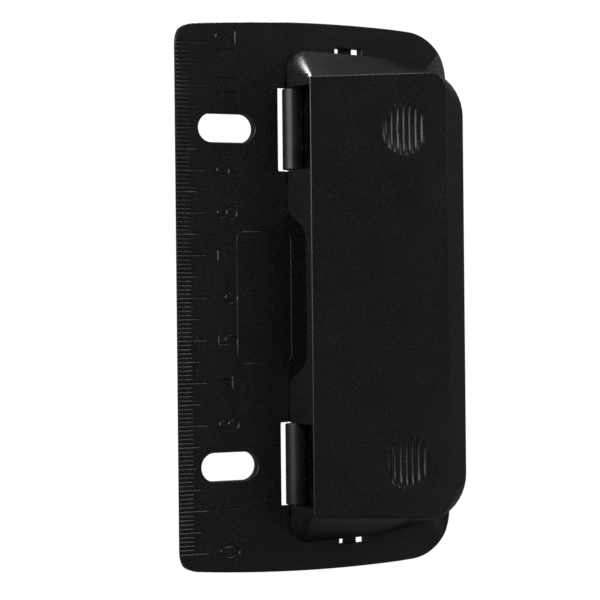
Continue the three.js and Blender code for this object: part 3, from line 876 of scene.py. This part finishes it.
def ruler_numerals(bm):
    """Centimetre numerals that read up the ruler, left out where a filing slot takes their place."""
    strokes = numeral_strokes()
    half_ruler = RULER_CENTIMETRES * 10 / 2
    for centimetre in range(RULER_CENTIMETRES + 1):
        y = centimetre * 10 - half_ruler
        if any(abs(y - UNIT_Y[side]) < SLOT_WIDTH for side in SIDES):
            continue
        digits = str(centimetre)
        total = len(digits) * NUMERAL_WIDTH + (len(digits) - 1) * NUMERAL_GAP
        for place, digit in enumerate(digits):
            start_y = y - total / 2 + place * (NUMERAL_WIDTH + NUMERAL_GAP)
            for stroke in strokes[digit]:
                points = []
                for across, up in stroke:
                    x = NUMERAL_X + NUMERAL_HEIGHT / 2 - up * NUMERAL_HEIGHT / 2
                    points.append(Vector((x, start_y + across * NUMERAL_WIDTH)))
                whole = (points[0] - points[-1]).length < 1e-4
                line = points[:-1] if whole else points
                groove(bm, line, STROKE_WIDTH, STROKE_DEPTH, closed=whole)


def panel_outline(bm):
    """The line round the plain panel in the middle of the plate."""
    low = (PANEL_REAR, -PANEL_HALF_LENGTH)
    high = (PANEL_FRONT, PANEL_HALF_LENGTH)
    loop = rectangle(low, high, PANEL_CORNER, 8)
    groove(bm, loop, OUTLINE_WIDTH, OUTLINE_DEPTH, closed=True)


def engraved_marks():
    tool = bmesh.new()
    ruler_ticks(tool)
    ruler_numerals(tool)
    panel_outline(tool)
    return tool


# ---- lever ---------------------------------------------------------------------------

def skirt_corners(inward):
    half = [
        (LIP - inward, SKIRT_FRONT - inward, LIP_CORNER, LIP_CORNER_REACH - inward),
        (SKIRT_MIDDLE_X, SKIRT_MIDDLE - inward, SIDE_BEND, SIDE_BEND_REACH),
        (REAR_WALL + inward, SKIRT_REAR - inward, REAR_CORNER, REAR_CORNER_REACH - inward),
    ]
    return mirrored(half)


def top_corners(end_in, rear_in):
    share = (SKIRT_MIDDLE_X - REAR_WALL) / (CREASE - REAR_WALL)
    middle_y = TOP_REAR + (TOP_FRONT - TOP_REAR) * share
    half = [
        (CREASE, TOP_FRONT - end_in, CREASE_CORNER, CREASE_CORNER_REACH),
        (SKIRT_MIDDLE_X, middle_y - end_in, SIDE_BEND, SIDE_BEND_REACH),
        (REAR_WALL + rear_in, TOP_REAR - end_in, TOP_REAR_CORNER, TOP_REAR_CORNER_REACH),
    ]
    return mirrored(half)


def bend(start, corner, end, steps):
    """A smooth turn between two straight lines that meet at corner."""
    points = []
    for k in range(steps + 1):
        t = k / steps
        points.append(start * (1 - t) ** 2 + corner * (2 * t * (1 - t)) + end * t ** 2)
    return points


def lever_column(foot, inner_foot, crest, crest_in, roof):
    """The points of the lever's section from the roof's inside, round the skirt and up to the top face."""
    up = Vector((0, 0, 1))
    share = min(max((foot.x - CREASE) / (LIP - CREASE), 0), 1) ** 0.7
    rise = (crest - foot).normalized().lerp(up, share).normalized()
    lip = foot + rise * LIP_LAND
    slope = (crest - lip).normalized()
    inward = (inner_foot - foot).normalized()
    column = [roof, inner_foot + up * SKIRT_EDGE, inner_foot - inward * SKIRT_EDGE]
    column += bend(foot + inward * SKIRT_EDGE, foot, foot + rise * SKIRT_EDGE, 3)
    column += bend(lip - rise * 0.35, lip, lip + slope * 0.35, 3)
    for part in (0.25, 0.5, 0.75):
        column.append(lip.lerp(crest, part))
    edge = TOP_EDGE * (1 - share) + CREASE_EDGE * share
    column += bend(crest - slope * edge, crest, crest.lerp(crest_in, edge / TOP_EDGE), 5)
    return column


def lever_shell():
    bm = bmesh.new()
    skirt = rounded(skirt_corners(0), 10)
    inner = rounded(skirt_corners(WALL), 10)
    top = rounded(top_corners(0, 0), 10)
    top_in = inset(top, TOP_EDGE)
    roof = rounded(top_corners(1, WALL), 10)
    columns = []
    for s, n, t, i, r in zip(skirt, inner, top, top_in, roof):
        columns.append(lever_column(
            Vector((s.x, s.y, skirt_height(s.x))),
            Vector((n.x, n.y, skirt_height(n.x))),
            Vector((t.x, t.y, LEVER_TOP)),
            Vector((i.x, i.y, LEVER_TOP)),
            Vector((r.x, r.y, ROOF_INSIDE)),
        ))
    rings = [[bm.verts.new(point) for point in ring] for ring in zip(*columns)]
    skin(bm, rings)
    fill(bm, [rings[0]])
    pads = [finger_pad(bm, UNIT_Y[side]) for side in SIDES]
    fill(bm, [rings[-1], *pads])
    return bm


def finger_pad(bm, y):
    """A round dish in the top face with straight ribs along Y. Returns its rim."""
    lines = []
    for i in range(PAD_COLUMNS + 1):
        x = -PAD_RADIUS * math.cos(math.pi * i / PAD_COLUMNS)
        half = PAD_RADIUS * math.sin(math.pi * i / PAD_COLUMNS)
        if i in (0, PAD_COLUMNS):
            lines.append([bm.verts.new((PUNCH_X + x, y, LEVER_TOP))])
            continue
        wave = 0.5 + 0.5 * math.cos(2 * math.pi * x / RIB_PITCH)
        line = []
        for j in range(PAD_ROWS + 1):
            v = -half * math.cos(math.pi * j / PAD_ROWS)
            share = math.hypot(x, v) / PAD_RADIUS
            dish = PAD_DEPTH * (1 - share ** 4)
            rib = wave ** 2.5 * min(RIB_HEIGHT, 0.9 * dish)
            line.append(bm.verts.new((PUNCH_X + x, y + v, LEVER_TOP - dish + rib)))
        lines.append(line)
    for left, right in zip(lines, lines[1:]):
        for j in range(PAD_ROWS):
            corners = [left[min(j, len(left) - 1)], right[min(j, len(right) - 1)]]
            corners += [right[min(j + 1, len(right) - 1)], left[min(j + 1, len(left) - 1)]]
            bm.faces.new(dict.fromkeys(corners))
    lower = [line[0] for line in lines]
    upper = [line[-1] for line in lines[1:-1]]
    return lower + upper[::-1]


def lever_cheeks():
    """The bearing walls beside each knuckle, and the bosses that push the punches."""
    tool = bmesh.new()
    for side in SIDES:
        y = UNIT_Y[side]
        inner = hinge_window_half(side) - CHEEK_INSET
        for sign in (-1, 1):
            low, high = sorted((y + sign * inner, y + sign * (inner + CHEEK_THICKNESS)))
            block(tool, (REAR_WALL + 0.1, low, HINGE.z), (REAR_WALL + CHEEK_DEPTH, high, ROOF_INSIDE + 0.1))
            rod(tool, HINGE.x - REAR_WALL, low, high)
        post(tool, (PUNCH_X, y), BOSS_RADIUS, ROOF_INSIDE - BOSS_DROP, ROOF_INSIDE + 0.5)
        sign = 1 if y > 0 else -1
        ends = sorted((sign * (LUG_OUTER + LUG_NOSE - LEDGE_OVERLAP), sign * (SKIRT_MIDDLE - WALL / 2)))
        low = skirt_height(LUG_X)
        reach = LUG_WIDTH / 2 + LEDGE_REACH
        block(tool, (LUG_X - reach, ends[0], low), (LUG_X + reach, ends[1], low + LEDGE_HEIGHT))
    return tool


def lever_openings():
    """The openings over the knuckles, the bores for the pins and the arch in the rear wall."""
    tool = bmesh.new()
    front = REAR_WALL + WALL + 0.2
    for side in SIDES:
        y = UNIT_Y[side]
        half = hinge_window_half(side) - CHEEK_INSET
        corners = [
            (REAR_WALL - 1, -1, 0),
            (front, -1, 0),
            (front, ROOF_INSIDE, 0),
            (REAR_WALL + OPENING_SLOPE, ROOF_INSIDE, 0),
            (REAR_WALL + OPENING_TOP, LEVER_TOP - OPENING_TOP, 0),
            (REAR_WALL - 1, LEVER_TOP - OPENING_TOP, 0),
        ]
        slab(tool, [rounded(corners)], plain(y - half, y + half), across_y)
        pin = node_half(f"{side}_hinge_pin", 1) + 0.3
        rod(tool, node_half(f"{side}_hinge_pin", 2) + 0.05, y - pin, y + pin)
    corners = [
        (ARCH_FOOT, PLATE_TOP - 1, 0),
        (ARCH_FOOT, PLATE_TOP + SKIRT_GAP, 0),
        (ARCH_TOP, PLATE_TOP + ARCH_HEIGHT, ARCH_CORNER),
    ]
    slab(tool, [rounded(mirrored_across(corners), 12)], plain(REAR_WALL - 1, REAR_WALL + WALL + 0.5), along_x)
    return tool


def mirrored_across(half):
    """Corners of an outline from those on its right half."""
    return half + [(-c[0], c[1], c[2]) for c in reversed(half)]


def press_lever():
    bm = combined(lever_shell(), lever_cheeks(), "UNION")
    bm = combined(bm, lever_openings(), "DIFFERENCE")
    rear = REAR_WALL + WALL + 0.6
    end = SKIRT_REAR - 7
    top = LEVER_TOP - 0.75
    soften(bm, CHEEK_EDGE, lambda p: p.x < rear and abs(p.y) < end and HINGE.z < p.z < top)
    return make_piece("lever_shell", bm, LEVER_PLASTIC, "lever", ["press_lever"])


# ---- hinges and punching units -------------------------------------------------------

def die_plate(side):
    """Black steel die plate whose rear edge is rolled into the hinge knuckle."""
    y = UNIT_Y[side]
    half = node_half(f"{side}_die_plate", 1)
    front = node_box(f"{side}_die_plate")[1].x
    bottom = PLATE_TOP - SHEET
    top = PLATE_TOP

    def sweep(radius, start, end, steps):
        points = []
        for k in range(steps + 1):
            a = start + (end - start) * k / steps
            points.append(Vector((HINGE.x + radius * math.cos(a), HINGE.z + radius * math.sin(a))))
        return points

    leaf_below = math.asin((bottom - HINGE.z) / KNUCKLE_OUTER)
    seam_above = math.asin((top + SEAM - HINGE.z) / KNUCKLE_OUTER)
    bore_above = math.asin((top + SEAM - HINGE.z) / KNUCKLE_BORE)
    bore_below = math.asin((top - HINGE.z) / KNUCKLE_BORE)
    full = 2 * math.pi
    loop = [Vector((front, top)), Vector((front, bottom))]
    loop += sweep(KNUCKLE_OUTER, leaf_below, seam_above - full, 56)
    loop += sweep(KNUCKLE_BORE, bore_above - full, bore_below, 40)
    bm = bmesh.new()
    slab(bm, [loop], rounded_edges(y - half, y + half, KNUCKLE_END, KNUCKLE_END, 2), across_y)
    tool = bmesh.new()
    post(tool, (PUNCH_X, y), node_half(f"{side}_punch", 0) + PUNCH_FIT, bottom - 1, top + 1)
    for spot in RIVET_SPOTS:
        centre = middle(f"{side}_{spot}")
        post(tool, centre, RIVET_HOLE, bottom - 1, top + 1, 24)
    flush = middle(f"{side}_front_rivet")
    post(tool, flush, FLUSH_SEAT_RADIUS, top - FLUSH_SEAT_DEPTH, top + 1)
    bm = combined(bm, tool, "DIFFERENCE")
    node = f"{side}_die_plate"
    return make_piece(f"{side}_rolled_die_plate", bm, COATED_STEEL, "base", [node])


def punch_guide(side):
    """Bent strap that holds the punch upright over the paper gap."""
    low, high = node_box(f"{side}_punch_guide")
    y = UNIT_Y[side]
    foot = low.z
    paper = high.z - GUIDE_SHEET
    stop = PUNCH_X - PAPER_STOP
    corners = [
        (low.x, foot, 0),
        (stop, foot, 0.3),
        (stop, paper, 0.3),
        (high.x, paper, 0),
        (high.x, high.z, 0),
        (stop - GUIDE_SHEET, high.z, 0.5),
        (stop - GUIDE_SHEET, foot + GUIDE_SHEET, 0.3),
        (low.x, foot + GUIDE_SHEET, 0),
    ]
    bm = bmesh.new()
    slab(bm, [rounded(corners, 4)], plain(low.y, high.y), across_y)
    plan = bmesh.new()
    outline = [
        (high.x, high.y, GUIDE_NOSE),
        (low.x, high.y, GUIDE_CORNER),
        (low.x, low.y, GUIDE_CORNER),
        (high.x, low.y, GUIDE_NOSE),
    ]
    slab(plan, [rounded(outline, 12)], plain(0, high.z + 1))
    bm = combined(bm, plan, "INTERSECT")
    tool = bmesh.new()
    post(tool, (PUNCH_X, y), node_half(f"{side}_punch", 0) + PUNCH_FIT, paper - 0.5, high.z + 1)
    for spot in RIVET_SPOTS[:2]:
        post(tool, middle(f"{side}_{spot}"), RIVET_HOLE, foot - 1, foot + 2, 24)
    bm = combined(bm, tool, "DIFFERENCE")
    node = f"{side}_punch_guide"
    return make_piece(f"{side}_guide_strap", bm, PLATED_STEEL, "base", [node])


def hinge_pin(side):
    low, high = node_box(f"{side}_hinge_pin")
    bm = bmesh.new()
    radius = (high.z - low.z) / 2
    slab(bm, [circle(HINGE.x, HINGE.z, radius)], rounded_edges(low.y, high.y, 0.2, 0.2), across_y)
    return make_piece(f"{side}_pivot_pin", bm, PLATED_STEEL, "lever", [f"{side}_hinge_pin"])


def punch(side):
    """Hardened punch: domed head, clip groove and a notched tip that cuts from both sides."""
    low, high = node_box(f"{side}_punch")
    clip_low, clip_high = node_box(f"{side}_spring_clip")
    radius = (high.x - low.x) / 2
    neck = radius - CLIP_GROOVE
    neck_low = clip_low.z - CLIP_PLAY
    neck_high = clip_high.z + CLIP_PLAY
    profile = [(0, low.z), (radius - 0.05, low.z), (radius, low.z + 0.05), (radius, neck_low)]
    profile += [(neck, neck_low), (neck, neck_high), (radius, neck_high)]
    profile += [(radius, high.z - PUNCH_DOME)]
    for k in range(1, 7):
        a = math.pi / 2 * k / 6
        profile.append((radius * math.cos(a), high.z - PUNCH_DOME + PUNCH_DOME * math.sin(a)))
    profile[-1] = (0, high.z)
    bm = bmesh.new()
    turned(bm, profile, (PUNCH_X, UNIT_Y[side]))
    tool = bmesh.new()
    past = radius + 1
    corners = [
        (PUNCH_X - past, low.z - 1, 0),
        (PUNCH_X + past, low.z - 1, 0),
        (PUNCH_X + radius - 0.2, low.z, 0),
        (PUNCH_X, low.z + PUNCH_NOTCH, 0),
        (PUNCH_X - radius + 0.2, low.z, 0),
    ]
    y = UNIT_Y[side]
    slab(tool, [rounded(corners)], plain(y - past, y + past), across_y)
    bm = combined(bm, tool, "DIFFERENCE")
    body = f"{side}_punch_body"
    return make_piece(f"{side}_punch_pin", bm, TOOL_STEEL, body, [f"{side}_punch"])


def spring_clip(side):
    """Open ring that snaps into the punch's groove and seats the spring."""
    low, high = node_box(f"{side}_spring_clip")
    y = UNIT_Y[side]
    outer = (high.y - low.y) / 2
    inner = node_half(f"{side}_punch", 0) - CLIP_GROOVE + CLIP_PLAY
    steps = 40
    loop = []
    for radius, turn in ((outer, 1), (inner, -1)):
        for k in range(steps + 1):
            a = CLIP_MOUTH + (2 * math.pi - 2 * CLIP_MOUTH) * k / steps
            a = a if turn > 0 else 2 * math.pi - a
            loop.append(Vector((PUNCH_X + radius * math.cos(a), y + radius * math.sin(a))))
    bm = bmesh.new()
    slab(bm, [loop], rounded_edges(low.z, high.z, 0.1, 0.1, 2))
    body = f"{side}_punch_body"
    return make_piece(f"{side}_clip_ring", bm, SPRING_STEEL, body, [f"{side}_spring_clip"])


def return_spring(side):
    """Conical spring between the guide and the clip, whose turns nest when it is pressed."""
    low, high = node_box(f"{side}_return_spring")
    y = UNIT_Y[side]
    wire = SPRING_WIRE
    top_radius = node_half(f"{side}_punch", 0) + SPRING_BORE_GAP + wire
    foot_radius = top_radius + SPRING_TURNS * (2 * wire + SPRING_NEST_GAP)
    bm = bmesh.new()
    steps = 48 * SPRING_TURNS
    rings = []
    for k in range(steps + 1):
        t = k / steps
        angle = 2 * math.pi * SPRING_TURNS * t
        radius = foot_radius + (top_radius - foot_radius) * t
        height = low.z + wire + (high.z - low.z - 2 * wire) * t
        outward = Vector((math.cos(angle), math.sin(angle), 0))
        centre = Vector((PUNCH_X, y, height)) + outward * radius
        ring = []
        for c in range(12):
            a = 2 * math.pi * c / 12
            offset = outward * math.cos(a) + Vector((0, 0, 1)) * math.sin(a)
            ring.append(bm.verts.new(centre + offset * wire))
        rings.append(ring)
    skin(bm, rings)
    bm.faces.new(rings[0])
    bm.faces.new(rings[-1])
    node = f"{side}_return_spring"
    piece = make_piece(f"{side}_cone_spring", bm, SPRING_STEEL, "base", [node])
    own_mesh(piece)
    return piece


def rivet(side, spot):
    """Turned rivet: the front one is flush with the die plate, the rear ones have a domed head."""
    node = f"{side}_{spot}"
    low, high = node_box(node)
    centre = middle(node)
    head = (high.x - low.x) / 2
    profile = [(0, low.z), (head - 0.25, low.z), (head, low.z + 0.2)]
    profile += [(head, low.z + RIVET_HEAD), (RIVET_SHANK, low.z + RIVET_HEAD)]
    if spot == "front_rivet":
        profile += [(RIVET_SHANK, high.z - RIVET_HEAD), (head, high.z - RIVET_HEAD)]
        profile += [(head, high.z - 0.05), (head - 0.1, high.z), (0.3, high.z), (0, high.z)]
    else:
        under = high.z - RIVET_HEAD - 0.1
        profile += [(RIVET_SHANK, under), (head, under)]
        for k in range(1, 6):
            a = math.pi / 2 * k / 6
            profile.append((head * math.cos(a), under + (high.z - under) * math.sin(a)))
        profile.append((0, high.z))
    bm = bmesh.new()
    turned(bm, profile, centre.to_2d(), 32)
    return make_piece(f"{node}_turned", bm, RIVET_STEEL, "base", [node])


# ---- stage, light and camera ---------------------------------------------------------

def make_camera():
    data = bpy.data.cameras.new("camera")
    camera = bpy.data.objects.new("camera", data)
    bpy.context.scene.collection.objects.link(camera)
    data.sensor_width = CAMERA_SENSOR
    data.lens = CAMERA_LENS
    data.clip_start = 0.01
    back = Vector((
        -math.sin(CAMERA_TILT) * math.cos(CAMERA_SWING),
        math.sin(CAMERA_SWING),
        math.cos(CAMERA_TILT) * math.cos(CAMERA_SWING),
    ))
    level = (-back).cross(Vector((0, 1, 0))).normalized()
    upright = level.cross(-back).normalized()
    right = level * math.cos(CAMERA_ROLL) + upright * math.sin(CAMERA_ROLL)
    up = upright * math.cos(CAMERA_ROLL) - level * math.sin(CAMERA_ROLL)
    turn = Matrix((right, up, back)).transposed().to_4x4()
    camera.matrix_world = Matrix.Translation((CAMERA_AIM + back * CAMERA_DISTANCE) * MM) @ turn
    bpy.context.scene.camera = camera


def make_floor():
    """A pale light table: bright to the eye, with little light thrown back on the object."""
    bm = bmesh.new()
    rings = []
    for radius in FLOOR_RINGS:
        rings.append([bm.verts.new((p.x, p.y, FLOOR_LEVEL)) for p in circle(0, 0, radius, 96)])
    skin(bm, rings)
    bm.faces.new(rings[0])
    bmesh.ops.recalc_face_normals(bm, faces=bm.faces)
    bmesh.ops.scale(bm, vec=(MM, MM, MM), verts=bm.verts)
    mesh = bpy.data.meshes.new("floor")
    bm.to_mesh(mesh)
    bm.free()
    floor = bpy.data.objects.new("floor", mesh)
    bpy.context.scene.collection.objects.link(floor)
    material, tree, shader = start_material("pale_floor")
    shader.inputs["Base Color"].default_value = (0.05, 0.05, 0.05, 1)
    shader.inputs["Roughness"].default_value = 0.9
    shader.inputs["Specular IOR Level"].default_value = 0.0
    shader.inputs["Emission Color"].default_value = (1, 1, 1, 1)
    seen = add_node(tree, "ShaderNodeLightPath").outputs["Is Camera Ray"]
    tree.links.new(spread(tree, seen, 0.0, 1.0, FLOOR_DIM, 1.0), shader.inputs["Emission Strength"])
    mesh.materials.append(material)


def make_world():
    world = bpy.data.worlds.new("studio")
    bpy.context.scene.world = world
    world.use_nodes = True
    tree = world.node_tree
    shader = tree.nodes["Background"]
    seen = add_node(tree, "ShaderNodeLightPath").outputs["Is Camera Ray"]
    shader.inputs["Color"].default_value = (1, 1, 1, 1)
    tree.links.new(spread(tree, seen, 0.0, 1.0, SKY_DIM, 1.0), shader.inputs["Strength"])


def softbox(name, spot, aim, size, power, round_shape=False):
    data = bpy.data.lights.new(name, "AREA")
    data.shape = "DISK" if round_shape else "RECTANGLE"
    data.size = size[0] * MM
    if not round_shape:
        data.size_y = size[1] * MM
    data.energy = power
    light = bpy.data.objects.new(name, data)
    bpy.context.scene.collection.objects.link(light)
    light.location = Vector(spot) * MM
    light.rotation_euler = (Vector(aim) - Vector(spot)).to_track_quat("-Z", "Y").to_euler()


def make_lights():
    softbox("low_right_softbox", (430, -160, 420), (10, 0, 0), (260,), 0.08, round_shape=True)
    softbox("left_softbox", (-700, 260, 290), (0, 20, 5), (560, 1000), 8.5)
    softbox("right_softbox", (480, 210, 290), (10, 0, 10), (180, 180), 0.34)
    softbox("end_softbox", (200, 450, 280), (0, 0, 5), (160, 160), 0.55)
    softbox("low_end_softbox", (-16, 79, 0.5), (-16, 79, 100), (27,), 0.042, round_shape=True)


# ---- build ---------------------------------------------------------------------------

make_camera()
make_floor()
make_world()
make_lights()
bpy.context.scene.view_settings.view_transform = "Standard"

base_plate()
press_lever()
for side in SIDES:
    die_plate(side)
    punch_guide(side)
    hinge_pin(side)
    punch(side)
    spring_clip(side)
    return_spring(side)
    for spot in RIVET_SPOTS:
        rivet(side, spot)
